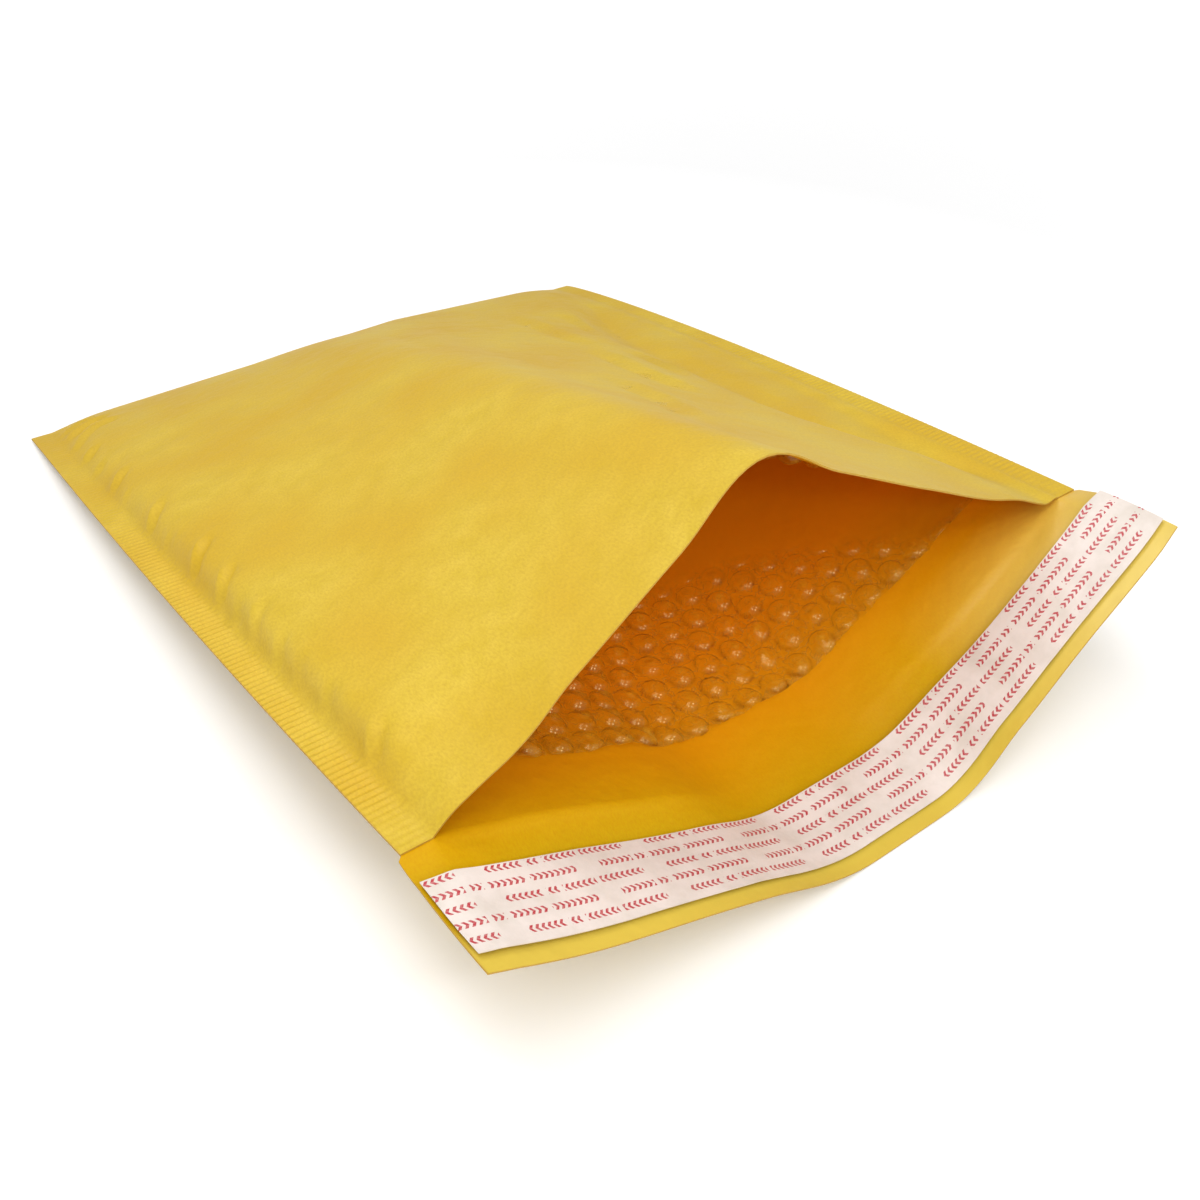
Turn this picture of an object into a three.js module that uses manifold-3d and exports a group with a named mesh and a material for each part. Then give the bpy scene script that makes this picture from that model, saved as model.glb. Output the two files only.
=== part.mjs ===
// Padded kraft mailer, lying on its back panel with its mouth held open.
// Millimetres, +Z up. X runs across the bag, the closed fold is at +Y and the open mouth at -Y.
// One kraft web is folded at the far end, sealed along both sides and runs on as the closing flap.
import * as THREE from "three";
import { mergeVertices } from "three/addons/utils/BufferGeometryUtils.js";
import Module from "manifold-3d";

// Flat sizes of the folded web
const bagWidth = 290;
const bodyLength = 335;
const flapLength = 43;
const paperThickness = 0.5;
const sealWidth = 9;

// How the bag lies: heights of the paper above the table, at shares of the way across
// from the left edge. The panels keep their length, so they draw in as they rise.
const sealHeights = [49, 55];
const mouthTop = [
  [0.1, 51.3], [0.2, 66.2], [0.34, 86.3], [0.46, 101.6],
  [0.56, 89.9], [0.7, 72.4], [0.85, 54.8], [0.93, 48.8],
];
const mouthBottom = [[0.15, 37.5], [0.32, 16], [0.45, 0], [0.56, 0], [0.7, 16], [0.86, 40]];
const flapEdge = [
  [0, 55], [0.15, 34.5], [0.32, 17], [0.49, 0], [0.6, 0], [0.72, 21], [0.86, 46], [1, 67.5],
];
const flapBend = [[0, 0], [0.25, -4], [0.5, 0], [0.6, 0], [0.8, -2], [1, 2]];
const openingPower = 0.86;
const mouthShift = 3.5;

// The padding swells the bag between its seals: a little at once, the rest further in.
// The folded end stands highest at a share of the way across.
const liningRoom = 2.4;
const liningRamp = 8;
const pillowHeight = 12;
const pillowRise = 60;
const sealRamp = 22;
const mouthRamp = 30;
const foldPeakShare = 0.63;
const foldPeakHeight = 5.5;

// Bubble lining: a film web, folded like the paper, with air bubbles in staggered rows
const filmThickness = 0.5;
const liningSetback = 24.5;
const liningInset = 8.5;
const bubblePitch = 12;
const bubbleRadius = 4.8;
const bubbleHeight = 4;
const bubbleRows = 5;
const bubbleSides = 6;
const bubbleHeadroom = 14;

// Sealing strip on the flap, and the paper liner that covers it
const linerFromMouth = 11.8;
const linerToEdge = 5;
const linerThickness = 0.3;
const linerEndInset = 0.4;
const stripInset = 2.5;
const stripThickness = 0.4;

// Pieces that touch are drawn this far apart, measured straight up
const contactGap = 0.35;

// A bubble's foot reaches this share of the film's thickness into it
const bubbleRoot = 0.4;
// Each bubble is a little narrower and rounder towards its crown
const bubbleShoulder = [0.8, 0.7];

// Mesh steps
const acrossSteps = 24;
const bodySteps = 12;
const flapSteps = 2;
const fineSteps = 240;
const foldRows = [3, 8, 16, 28];
const firstEvenRow = 44;
const liningStep = 3.4;
const noseAngles = [-45, 0, 45];

// Steps along a line from first to last
const steps = (first, last, count) => (
  Array.from({ length: count + 1 }, (_, k) => first + ((last - first) * k) / count)
);

// Smooth curve through [share, height] points, flat or straight where they are
function curveThrough(points) {
  const span = points.slice(1).map(([x], i) => x - points[i][0]);
  const slope = span.map((width, i) => (points[i + 1][1] - points[i][1]) / width);
  const tangent = points.map((_, i) => {
    const before = slope[Math.max(i - 1, 0)];
    const after = slope[Math.min(i, slope.length - 1)];
    if (before * after <= 0) return 0;
    const near = 2 * (span[i] ?? span[i - 1]) + (span[i - 1] ?? span[i]);
    const far = (span[i] ?? span[i - 1]) + 2 * (span[i - 1] ?? span[i]);
    return (near + far) / (near / before + far / after);
  });
  return (share) => {
    let i = 0;
    while (i < span.length - 1 && share > points[i + 1][0]) i += 1;
    const t = (share - points[i][0]) / span[i];
    const rest = 1 - t;
    return (1 + 2 * t) * rest * rest * points[i][1] + t * rest * rest * span[i] * tangent[i]
      + t * t * (3 - 2 * t) * points[i + 1][1] - t * t * rest * span[i] * tangent[i + 1];
  };
}

// Full at 1, and steep where it starts
const swell = (value) => Math.sin((THREE.MathUtils.clamp(value, 0, 1) * Math.PI) / 2);
const seal = sealWidth / bagWidth;
// The seals are flat bands, and the curve runs between them
function betweenSeals(points) {
  const curve = curveThrough([[seal, sealHeights[0]], ...points, [1 - seal, sealHeights[1]]]);
  return (share) => curve(THREE.MathUtils.clamp(share, seal, 1 - seal));
}
const topHeight = betweenSeals(mouthTop);
const bottomHeight = betweenSeals(mouthBottom);
const edgeHeight = curveThrough(flapEdge);
const bendHeight = curveThrough(flapBend);

// Fine shares across: one step for each seal, and even steps between them
const fineShares = [0, ...steps(seal, 1 - seal, fineSteps), 1];

// Distance across, from the left edge, at each fine share of a line with these heights
function spreadAcross(heights) {
  const reach = [0];
  for (let k = 1; k < fineShares.length; k += 1) {
    const step = (fineShares[k] - fineShares[k - 1]) * bagWidth;
    const rise = heights[k] - heights[k - 1];
    reach.push(reach[k - 1] + Math.sqrt(Math.max(step * step - rise * rise, 0.01 * step * step)));
  }
  return reach;
}

// The value at a share, read from values at the fine shares
function sample(values, share) {
  const between = ((share - seal) / (1 - 2 * seal)) * fineSteps;
  const k = share <= seal ? 0 : Math.min(1 + Math.floor(between), fineShares.length - 2);
  const part = (share - fineShares[k]) / (fineShares[k + 1] - fineShares[k]);
  return values[k] + (values[k + 1] - values[k]) * part;
}

const openingAt = (along) => Math.pow(Math.max(along, 0) / bodyLength, openingPower);

// How far the padding lifts the front panel, at this distance from the fold
function pillow(share, along) {
  const fromSeal = Math.max(Math.min(share, 1 - share) * bagWidth - sealWidth, 0);
  const peak = Math.min(
    (share - seal) / (foldPeakShare - seal),
    (1 - seal - share) / (1 - seal - foldPeakShare),
  );
  const fade = Math.exp(-along / pillowRise);
  const ramp = sealRamp + (mouthRamp - sealRamp) * openingAt(along);
  return liningRoom * swell(fromSeal / liningRamp) + foldPeakHeight * Math.max(peak, 0) * fade
    + (pillowHeight - liningRoom) * swell(fromSeal / ramp) * (1 - fade);
}

// The inner faces of both panels across the bag, at this distance from the fold
const sectionCache = new Map();
function section(along) {
  if (!sectionCache.has(along)) {
    const opening = openingAt(along);
    const panels = [topHeight, bottomHeight].map((height) => {
      const heights = fineShares.map((share) => opening * height(share));
      return { heights, reach: spreadAcross(heights) };
    });
    const chord = Math.min(...panels.map(({ reach }) => reach.at(-1))) - 2 * sealWidth;
    const left = mouthShift * opening - chord / 2 - sealWidth;
    sectionCache.set(along, { front: panels[0], back: panels[1], chord, left });
  }
  return sectionCache.get(along);
}

function panelPoint(panel, { chord, left }, share, along, lift) {
  const height = sample(panel.heights, share);
  const reach = sample(panel.reach, share);
  const slack = chord / (panel.reach.at(-1) - 2 * sealWidth);
  const between = THREE.MathUtils.clamp(reach - sealWidth, 0, panel.reach.at(-1) - 2 * sealWidth);
  const x = left + between * slack + (reach - between);
  const drift = x - (share - 0.5) * bagWidth;
  const y = Math.sqrt(Math.max(along * along - height * height - drift * drift, 0));
  return new THREE.Vector3(x, -y, height + lift);
}

function frontPoint(share, along, lift = 0) {
  const part = section(along);
  return panelPoint(part.front, part, share, along, paperThickness + pillow(share, along) + lift);
}

function backPoint(share, along, lift = 0) {
  const part = section(along);
  return panelPoint(part.back, part, share, along, paperThickness + lift);
}

// The flap's upper face: it hinges at the mouth, and bends again where the stiff liner starts
const hingeShare = 0.5;
const mouthLine = fineShares.map((share) => bottomHeight(share));
const edgeLine = fineShares.map((share) => edgeHeight(share));
const linerStart = linerFromMouth / flapLength;
const bendLine = fineShares.map((share, k) => (
  mouthLine[k] + (edgeLine[k] - mouthLine[k]) * linerStart + bendHeight(share)
));

function flapLine(heights, previous, step) {
  const reach = spreadAcross(heights);
  const shift = sample(previous.x, hingeShare) - sample(reach, hingeShare);
  const x = reach.map((value) => value + shift);
  const y = x.map((value, k) => {
    const climb = heights[k] - previous.z[k];
    const drift = value - previous.x[k];
    return previous.y[k] - Math.sqrt(Math.max(step * step - climb * climb - drift * drift, 0));
  });
  return { x, y, z: heights };
}

const hingeLine = {
  x: fineShares.map((share) => backPoint(share, bodyLength).x),
  y: fineShares.map((share) => backPoint(share, bodyLength).y),
  z: mouthLine,
};
const linerLine = flapLine(bendLine, hingeLine, linerFromMouth);
const flapCache = new Map();

function flapPoint(share, beyond, lift = 0) {
  if (!flapCache.has(beyond)) {
    const near = beyond < linerFromMouth;
    const from = near ? hingeLine : linerLine;
    const to = near ? bendLine : edgeLine;
    const part = near ? beyond / linerFromMouth : (beyond - linerFromMouth) / (flapLength - linerFromMouth);
    const heights = from.z.map((value, k) => value + (to[k] - value) * part);
    flapCache.set(beyond, flapLine(heights, from, near ? beyond : beyond - linerFromMouth));
  }
  const line = flapCache.get(beyond);
  const height = sample(line.z, share) + paperThickness + lift;
  return new THREE.Vector3(sample(line.x, share), sample(line.y, share), height);
}

// Gathers quads into one closed mesh, dropping the corners that coincide
class Skin {
  constructor() {
    this.places = [];
    this.faces = [];
    this.known = new Map();
  }

  corner(point) {
    const key = point.toArray().map((value) => Math.round(value * 2000)).join(" ");
    if (!this.known.has(key)) {
      this.known.set(key, this.places.length / 3);
      this.places.push(...point.toArray());
    }
    return this.known.get(key);
  }

  triangle(a, b, c) {
    const [i, j, k] = [a, b, c].map((point) => this.corner(point));
    if (i !== j && j !== k && k !== i) this.faces.push(i, j, k);
  }

  // Rows of points, seen from outside with the rows going up and each row going right
  sheet(rows, behind = false) {
    for (let r = 1; r < rows.length; r += 1) {
      for (let c = 1; c < rows[r].length; c += 1) {
        const [a, b] = [rows[r - 1][c - 1], rows[r - 1][c]];
        const [d, e] = [rows[r][c - 1], rows[r][c]];
        this.triangle(a, ...(behind ? [e, b] : [b, e]));
        this.triangle(a, ...(behind ? [d, e] : [e, d]));
      }
    }
  }

  // The same rows, seen from outside with each row going left
  back(rows) {
    this.sheet(rows, true);
  }

  geometry() {
    const made = new THREE.BufferGeometry();
    made.setAttribute("position", new THREE.Float32BufferAttribute(this.places, 3));
    made.setIndex(this.faces);
    made.computeVertexNormals();
    return made;
  }
}

const column = (rows, c) => rows.map((row) => row.at(c));

// Where the panels are sampled, shared by every layer so that the layers stay parallel
const shareOf = (distance) => distance / bagWidth;
const sideSteps = [0, liningStep, liningInset, liningInset + filmThickness];
const sideColumns = sideSteps.map((inwards) => seal + shareOf(inwards));
const pocketColumns = [
  ...sideColumns,
  ...steps(seal + shareOf(sealRamp), 1 - seal - shareOf(sealRamp), acrossSteps),
  ...[...sideColumns].reverse().map((value) => 1 - value),
];
const liningColumns = pocketColumns.slice(2, -2);
const liningEnd = bodyLength - liningSetback;
const liningRows = [...foldRows, ...steps(firstEvenRow, liningEnd, bodySteps)];
const pocketRows = [0, ...liningRows, bodyLength];
const linerEnd = flapLength - linerToEdge;
const stripSpan = [linerFromMouth + stripInset, linerEnd - stripInset];
const flapRows = [
  0, linerFromMouth / 2, linerFromMouth, ...steps(...stripSpan, flapSteps), linerEnd, flapLength,
];

// The kraft web: front panel, back panel and flap with its two sealed sides
function kraftWeb() {
  const across = [0, ...pocketColumns, 1];
  const cavityRows = [paperThickness, ...liningRows, bodyLength];
  const frontOuter = pocketRows.map((v) => across.map((u) => frontPoint(u, v, paperThickness)));
  const backOuter = pocketRows.map((v) => across.map((u) => backPoint(u, v, -paperThickness)));
  const frontInner = cavityRows.map((v) => pocketColumns.map((u) => frontPoint(u, v)));
  const backInner = cavityRows.map((v) => pocketColumns.map((u) => backPoint(u, v)));
  const flapFace = (lift) => flapRows.map((v) => across.map((u) => (
    v === 0 ? backPoint(u, bodyLength, lift) : flapPoint(u, v, lift)
  )));
  const flapUpper = flapFace(0);
  const flapLower = flapFace(-paperThickness);
  // The rounded fold; at the two seals it comes to one edge
  const nose = noseAngles.map((angle) => across.map((u, c) => {
    const radius = (frontOuter[0][c].z - backOuter[0][c].z) / 2;
    const turn = c === 0 || c === across.length - 1 ? 0 : THREE.MathUtils.degToRad(angle);
    const middle = backOuter[0][c].clone().lerp(frontOuter[0][c], 0.5);
    return middle.add(new THREE.Vector3(0, radius * Math.cos(turn), radius * Math.sin(turn)));
  }));
  const sideMiddle = (u, c) => [nose[0].at(c), ...pocketRows.slice(1).map((v) => backPoint(u, v))];
  const skin = new Skin();
  skin.back(frontOuter);
  skin.sheet(backOuter);
  skin.sheet(frontInner);
  skin.back(backInner);
  skin.back(flapUpper);
  skin.sheet(flapLower);
  // Rounded far fold outside, and the end of the pocket inside
  skin.back([backOuter[0], ...nose, frontOuter[0]]);
  skin.sheet([backInner[0], frontInner[0]]);
  // Cut edge of the front panel round the mouth, down to the flap at the two seals
  const rim = [flapUpper[0][0], ...frontInner.at(-1), flapUpper[0].at(-1)];
  skin.sheet([rim, frontOuter.at(-1)]);
  // Side edges of the body, then of the flap
  skin.sheet([column(backOuter, 0), sideMiddle(0, 0), column(frontOuter, 0)]);
  skin.sheet([column(frontOuter, -1), sideMiddle(1, -1), column(backOuter, -1)]);
  skin.sheet([column(flapLower, 0), column(flapUpper, 0)]);
  skin.sheet([column(flapUpper, -1), column(flapLower, -1)]);
  skin.sheet([flapLower.at(-1), flapUpper.at(-1)]);
  return skin.geometry();
}

// A strip of even thickness on the flap's upper face
function flapStrip(fromMouth, toMouth, endInset, lift, thickness) {
  const across = [shareOf(endInset), ...pocketColumns, 1 - shareOf(endInset)];
  const beyond = flapRows.filter((v) => v >= fromMouth && v <= toMouth);
  const lower = beyond.map((v) => across.map((u) => flapPoint(u, v, lift)));
  const upper = beyond.map((v) => across.map((u) => flapPoint(u, v, lift + thickness)));
  const skin = new Skin();
  skin.back(upper);
  skin.sheet(lower);
  skin.back([lower[0], upper[0]]);
  skin.sheet([lower.at(-1), upper.at(-1)]);
  skin.sheet([column(lower, 0), column(upper, 0)]);
  skin.sheet([column(upper, -1), column(lower, -1)]);
  return skin.geometry();
}

// The film web of the lining: a pocket inside the pocket, closed at the fold and at both sides
function filmWeb() {
  const inner = liningColumns.slice(1, -1);
  const cavityRows = [foldRows[0] + filmThickness, ...liningRows.slice(1)];
  const frontOuter = liningRows.map((v) => liningColumns.map((u) => frontPoint(u, v, -contactGap)));
  const backOuter = liningRows.map((v) => liningColumns.map((u) => backPoint(u, v, contactGap)));
  const frontInner = cavityRows.map((v) => inner.map((u) => frontPoint(u, v, -contactGap - filmThickness)));
  const backInner = cavityRows.map((v) => inner.map((u) => backPoint(u, v, contactGap + filmThickness)));
  const mouth = liningRows.length - 1;
  const skin = new Skin();
  skin.back(frontOuter);
  skin.sheet(backOuter);
  skin.sheet(frontInner);
  skin.back(backInner);
  skin.back([backOuter[0], frontOuter[0]]);
  skin.sheet([backInner[0], frontInner[0]]);
  skin.sheet([column(backOuter, 0), column(frontOuter, 0)]);
  skin.sheet([column(frontOuter, -1), column(backOuter, -1)]);
  skin.sheet([column(frontInner, 0), column(backInner, 0)]);
  skin.sheet([column(backInner, -1), column(frontInner, -1)]);
  // Cut edges at the mouth: one strip below, one above, joined at the two sides
  const frontEdge = [frontOuter[mouth][0], ...frontInner[mouth], frontOuter[mouth].at(-1)];
  const backEdge = [backOuter[mouth][0], ...backInner[mouth], backOuter[mouth].at(-1)];
  skin.sheet([frontEdge, frontOuter[mouth]]);
  skin.sheet([backOuter[mouth], backEdge]);
  skin.triangle(backOuter[mouth][0], backInner[mouth][0], frontInner[mouth][0]);
  skin.triangle(backOuter[mouth][0], frontInner[mouth][0], frontOuter[mouth][0]);
  skin.triangle(backOuter[mouth].at(-1), frontInner[mouth].at(-1), backInner[mouth].at(-1));
  skin.triangle(backOuter[mouth].at(-1), frontOuter[mouth].at(-1), frontInner[mouth].at(-1));
  return skin.geometry();
}

// A point on the film's facets under the pocket, so that a bubble stands on the film itself
function filmPoint(place, along) {
  const cell = (stations, value) => {
    const next = Math.max(stations.findIndex((station) => station > value), 1);
    const [before, after] = [stations[next - 1], stations[next]];
    return [before, after, (value - before) / (after - before)];
  };
  const [left, right, across] = cell(liningColumns, place);
  const [far, near, down] = cell(liningRows, along);
  const lift = contactGap + filmThickness;
  const edge = (row) => backPoint(left, row, lift).lerp(backPoint(right, row, lift), across);
  return edge(far).lerp(edge(near), down);
}

// One air bubble: a low dome, its foot a little way into the film
function bubbleDome(place, along) {
  const foot = bubbleRoot * filmThickness;
  const shoulder = [bubbleShoulder[0] * bubbleRadius, bubbleShoulder[1] * bubbleHeight];
  const profile = [[0, -foot], [bubbleRadius, -foot], shoulder, [0, bubbleHeight]];
  const dome = new THREE.LatheGeometry(profile.map(([r, z]) => new THREE.Vector2(r, z)), bubbleSides);
  dome.rotateX(Math.PI / 2);
  const reach = shareOf(bubbleRadius);
  const sideways = filmPoint(place + reach, along).sub(filmPoint(place - reach, along));
  const forward = filmPoint(place, along - bubbleRadius).sub(filmPoint(place, along + bubbleRadius));
  const up = sideways.cross(forward).normalize();
  dome.applyQuaternion(new THREE.Quaternion().setFromUnitVectors(new THREE.Vector3(0, 0, 1), up));
  const centre = filmPoint(place, along);
  dome.translate(centre.x, centre.y, centre.z);
  return dome;
}

// The rows of bubbles that the open mouth shows, wherever the pocket is high enough for them
function bubbleField() {
  const domes = [];
  const rowStep = (bubblePitch * Math.sqrt(3)) / 2;
  const edge = sealWidth + liningInset + bubbleRadius + 1;
  for (let row = 0; row < bubbleRows; row += 1) {
    const along = bodyLength - liningSetback - bubbleRadius - 1 - row * rowStep;
    const first = edge + (row % 2 === 0 ? 0 : bubblePitch / 2);
    for (let across = first; across <= bagWidth - edge; across += bubblePitch) {
      const room = frontPoint(shareOf(across), along).z - backPoint(shareOf(across), along).z;
      if (room > bubbleHeight + bubbleHeadroom) domes.push(bubbleDome(shareOf(across), along));
    }
  }
  return domes;
}

const wasm = await Module();
wasm.setup();

function solidFrom(geometry) {
  const bare = geometry.clone();
  bare.deleteAttribute("normal");
  bare.deleteAttribute("uv");
  const merged = mergeVertices(bare, 1e-4);
  return new wasm.Manifold(new wasm.Mesh({
    numProp: 3,
    vertProperties: Float32Array.from(merged.attributes.position.array),
    triVerts: Uint32Array.from(merged.index.array),
  }));
}

function joined(geometries) {
  const mesh = wasm.Manifold.union(geometries.map(solidFrom)).getMesh();
  const made = new THREE.BufferGeometry();
  made.setAttribute("position", new THREE.BufferAttribute(Float32Array.from(mesh.vertProperties), 3));
  made.setIndex(new THREE.BufferAttribute(Uint32Array.from(mesh.triVerts), 1));
  made.computeVertexNormals();
  return made;
}

const finish = (color, roughness, more) => (
  new THREE.MeshStandardMaterial({ color, roughness, metalness: 0, ...more })
);
const finishes = {
  kraft: finish(0xdeb23c, 0.6),
  film: finish(0xe9e4d8, 0.15, { transparent: true, opacity: 0.35 }),
  adhesive: finish(0xe6dcc0, 0.3),
  liner: finish(0xefeae2, 0.45),
};

function piece(name, geometry, material) {
  const mesh = new THREE.Mesh(geometry, material);
  mesh.name = name;
  return mesh;
}

// The strip lies on the flap, and the liner on the strip
const stripLift = contactGap;
const linerLift = stripLift + stripThickness + contactGap;
const mailer = new THREE.Group();
mailer.add(
  piece("kraft_envelope", kraftWeb(), finishes.kraft),
  piece("bubble_lining", joined([filmWeb(), ...bubbleField()]), finishes.film),
  piece(
    "adhesive_strip",
    flapStrip(...stripSpan, stripInset, stripLift, stripThickness),
    finishes.adhesive,
  ),
  piece(
    "release_liner",
    flapStrip(linerFromMouth, linerEnd, linerEndInset, linerLift, linerThickness),
    finishes.liner,
  ),
);

// The origin is under the middle of the bag
const extent = new THREE.Box3().setFromObject(mailer);
mailer.position.set(-(extent.min.x + extent.max.x) / 2, -(extent.min.y + extent.max.y) / 2, -extent.min.z);

export default mailer;
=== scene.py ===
import math

import bmesh
import bpy
import numpy as np
from mathutils import Matrix, Vector, noise


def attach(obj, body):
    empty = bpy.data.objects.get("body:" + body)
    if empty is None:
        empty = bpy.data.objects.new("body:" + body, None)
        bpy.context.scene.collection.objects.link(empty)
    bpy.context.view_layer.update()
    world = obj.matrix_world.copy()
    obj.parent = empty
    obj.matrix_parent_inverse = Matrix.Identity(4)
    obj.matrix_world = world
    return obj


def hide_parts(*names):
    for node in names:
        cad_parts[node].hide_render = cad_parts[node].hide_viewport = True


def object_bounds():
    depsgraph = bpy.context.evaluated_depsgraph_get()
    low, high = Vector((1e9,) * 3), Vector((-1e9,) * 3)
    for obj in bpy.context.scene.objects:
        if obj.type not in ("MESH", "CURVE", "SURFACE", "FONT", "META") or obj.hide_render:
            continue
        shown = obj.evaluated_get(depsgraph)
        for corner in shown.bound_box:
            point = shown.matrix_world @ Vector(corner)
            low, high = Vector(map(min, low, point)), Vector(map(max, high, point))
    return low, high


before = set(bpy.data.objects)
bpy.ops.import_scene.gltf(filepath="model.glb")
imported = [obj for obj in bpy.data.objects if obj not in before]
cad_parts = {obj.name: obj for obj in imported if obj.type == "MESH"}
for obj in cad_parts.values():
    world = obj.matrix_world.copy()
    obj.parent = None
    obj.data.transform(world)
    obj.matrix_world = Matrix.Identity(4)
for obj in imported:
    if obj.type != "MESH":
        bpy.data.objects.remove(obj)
CAD_LOW, CAD_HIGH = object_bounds()
MM = 0.001

# Camera, from the fit to the photograph
CAMERA_AZIMUTH = math.radians(-36.3185)
CAMERA_ELEVATION = math.radians(40.5328)
CAMERA_ROLL = math.radians(1.41)
CAMERA_DISTANCE = 0.42015
CAMERA_TARGET_X, CAMERA_TARGET_FROM_FOLD = 0.0026, 0.23324
LENS, SENSOR = 33.12, 36.0

# Flat sizes of the webs
BAG_WIDTH = 290.0
BODY_LENGTH = 335.0
FLAP_LENGTH = 43.0
PAPER = 0.5
SEAL_WIDTH = 9.0
SEAL = SEAL_WIDTH / BAG_WIDTH
FOLD_HALF = 6.0
LINING_SETBACK = 24.5
LINING_INSET = 8.5
LINER_FROM_MOUTH = 11.8
LINER_TO_EDGE = 5.0
STRIP_INSET = 2.5
CONTACT_GAP = 0.35

# How the bag lies: heights above the table at shares of the way across
SEAL_HEIGHTS = (49, 55)
MOUTH_TOP = [(0.1, 51.3), (0.2, 66.2), (0.34, 86.3), (0.46, 101.6), (0.56, 89.9), (0.7, 72.4), (0.85, 54.8),
             (0.93, 48.8)]
MOUTH_BOTTOM = [(0.15, 37.5), (0.32, 16), (0.45, 0), (0.56, 0), (0.7, 16), (0.86, 40)]
FLAP_EDGE = [(0, 55), (0.15, 34.5), (0.32, 17), (0.49, 0), (0.6, 0), (0.72, 21), (0.86, 46), (1, 67.5)]
FLAP_BEND = [(0, 0), (0.25, -4), (0.5, 0), (0.6, 0), (0.8, -2), (1, 2)]
OPENING_POWER = 0.86
MOUTH_SHIFT = 3.5
LINING_ROOM, LINING_RAMP = 2.4, 8.0
FOLD_CORNER_RAMP = 17.0
PILLOW_HEIGHT, PILLOW_RISE = 12.0, 60.0
SEAL_RAMP, MOUTH_RAMP = 22.0, 30.0
FOLD_PEAK_SHARE, FOLD_PEAK_HEIGHT = 0.63, 5.5


def curve_through(points):
    """A monotone cubic through (share, height) points."""
    share, height = np.array(points, float).T
    span = np.diff(share)
    slope = np.diff(height) / span
    before = np.concatenate([slope[:1], slope])
    after = np.concatenate([slope, slope[-1:]])
    span_before = np.concatenate([span[:1], span])
    span_after = np.concatenate([span, span[-1:]])
    near, far = 2 * span_after + span_before, span_after + 2 * span_before
    bends = before * after > 0
    safe_before, safe_after = np.where(bends, before, 1), np.where(bends, after, 1)
    tangent = np.where(bends, (near + far) / (near / safe_before + far / safe_after), 0)

    def curve(value):
        value = np.asarray(value, float)
        i = np.clip(np.searchsorted(share, value, side="left") - 1, 0, len(span) - 1)
        t = (value - share[i]) / span[i]
        rest = 1 - t
        return ((1 + 2 * t) * rest * rest * height[i] + t * rest * rest * span[i] * tangent[i]
                + t * t * (3 - 2 * t) * height[i + 1] - t * t * rest * span[i] * tangent[i + 1])

    return curve


def smooth(value):
    t = np.clip(value, 0, 1)
    return t * t * (3 - 2 * t)


def swell(value):
    return np.sin(np.clip(value, 0, 1) * math.pi / 2)


def between_seals(points):
    curve = curve_through([(SEAL, SEAL_HEIGHTS[0])] + points + [(1 - SEAL, SEAL_HEIGHTS[1])])
    return lambda share: curve(np.clip(share, SEAL, 1 - SEAL))


# The panels' inner faces as tables: one row for each millimetre from the fold, one column a fine share
SHARES = np.concatenate([[0], np.linspace(SEAL, 1 - SEAL, 241), [1]])
ALONG = np.arange(0, BODY_LENGTH + 0.5, 1.0)
BEYOND = np.arange(0, FLAP_LENGTH + 0.5, 1.0)


def spread_across(heights):
    step = np.diff(SHARES) * BAG_WIDTH
    rise = np.diff(heights, axis=-1)
    run = np.sqrt(np.maximum(step * step - rise * rise, 0.01 * step * step))
    return np.concatenate([np.zeros(run.shape[:-1] + (1,)), np.cumsum(run, axis=-1)], axis=-1)


def opening_at(along):
    return (np.maximum(along, 0) / BODY_LENGTH) ** OPENING_POWER


def pillow(share, along):
    from_seal = np.minimum(share, 1 - share) * BAG_WIDTH - SEAL_WIDTH
    before_peak = (share - SEAL) / (FOLD_PEAK_SHARE - SEAL)
    after_peak = (1 - SEAL - share) / (1 - SEAL - FOLD_PEAK_SHARE)
    peak = np.minimum(before_peak, after_peak)
    fade = np.exp(-along / PILLOW_RISE)
    ramp = SEAL_RAMP + (MOUTH_RAMP - SEAL_RAMP) * opening_at(along)
    lining_ramp = LINING_RAMP + FOLD_CORNER_RAMP * np.exp(-along / 30)
    return (LINING_ROOM * swell(from_seal / lining_ramp) + FOLD_PEAK_HEIGHT * np.maximum(peak, 0) * fade
            + (PILLOW_HEIGHT - LINING_ROOM) * swell(from_seal / ramp) * (1 - fade))


def panel_tables():
    opening = opening_at(ALONG)[:, None]
    heights = [opening * between_seals(profile)(SHARES)[None, :] for profile in (MOUTH_TOP, MOUTH_BOTTOM)]
    reaches = [spread_across(height) for height in heights]
    chord = np.minimum(reaches[0][:, -1:], reaches[1][:, -1:]) - 2 * SEAL_WIDTH
    left = MOUTH_SHIFT * opening - chord / 2 - SEAL_WIDTH
    tables = []
    for height, reach in zip(heights, reaches):
        free = reach[:, -1:] - 2 * SEAL_WIDTH
        inner = np.clip(reach - SEAL_WIDTH, 0, free)
        x = left + inner * chord / free + (reach - inner)
        drift = x - (SHARES[None, :] - 0.5) * BAG_WIDTH
        y = -np.sqrt(np.maximum(ALONG[:, None] ** 2 - height ** 2 - drift ** 2, 0))
        tables.append(np.stack([x, y, height + PAPER], axis=-1))
    tables[0][:, :, 2] += pillow(SHARES[None, :], ALONG[:, None])
    return tables


FRONT_TABLE, BACK_TABLE = panel_tables()


def flap_line(heights, previous, step):
    reach = spread_across(heights)
    x = reach + np.interp(0.5, SHARES, previous[:, 0]) - np.interp(0.5, SHARES, reach)
    climb, drift = heights - previous[:, 2], x - previous[:, 0]
    y = previous[:, 1] - np.sqrt(np.maximum(step * step - climb ** 2 - drift ** 2, 0))
    return np.stack([x, y, heights], axis=-1)


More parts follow.
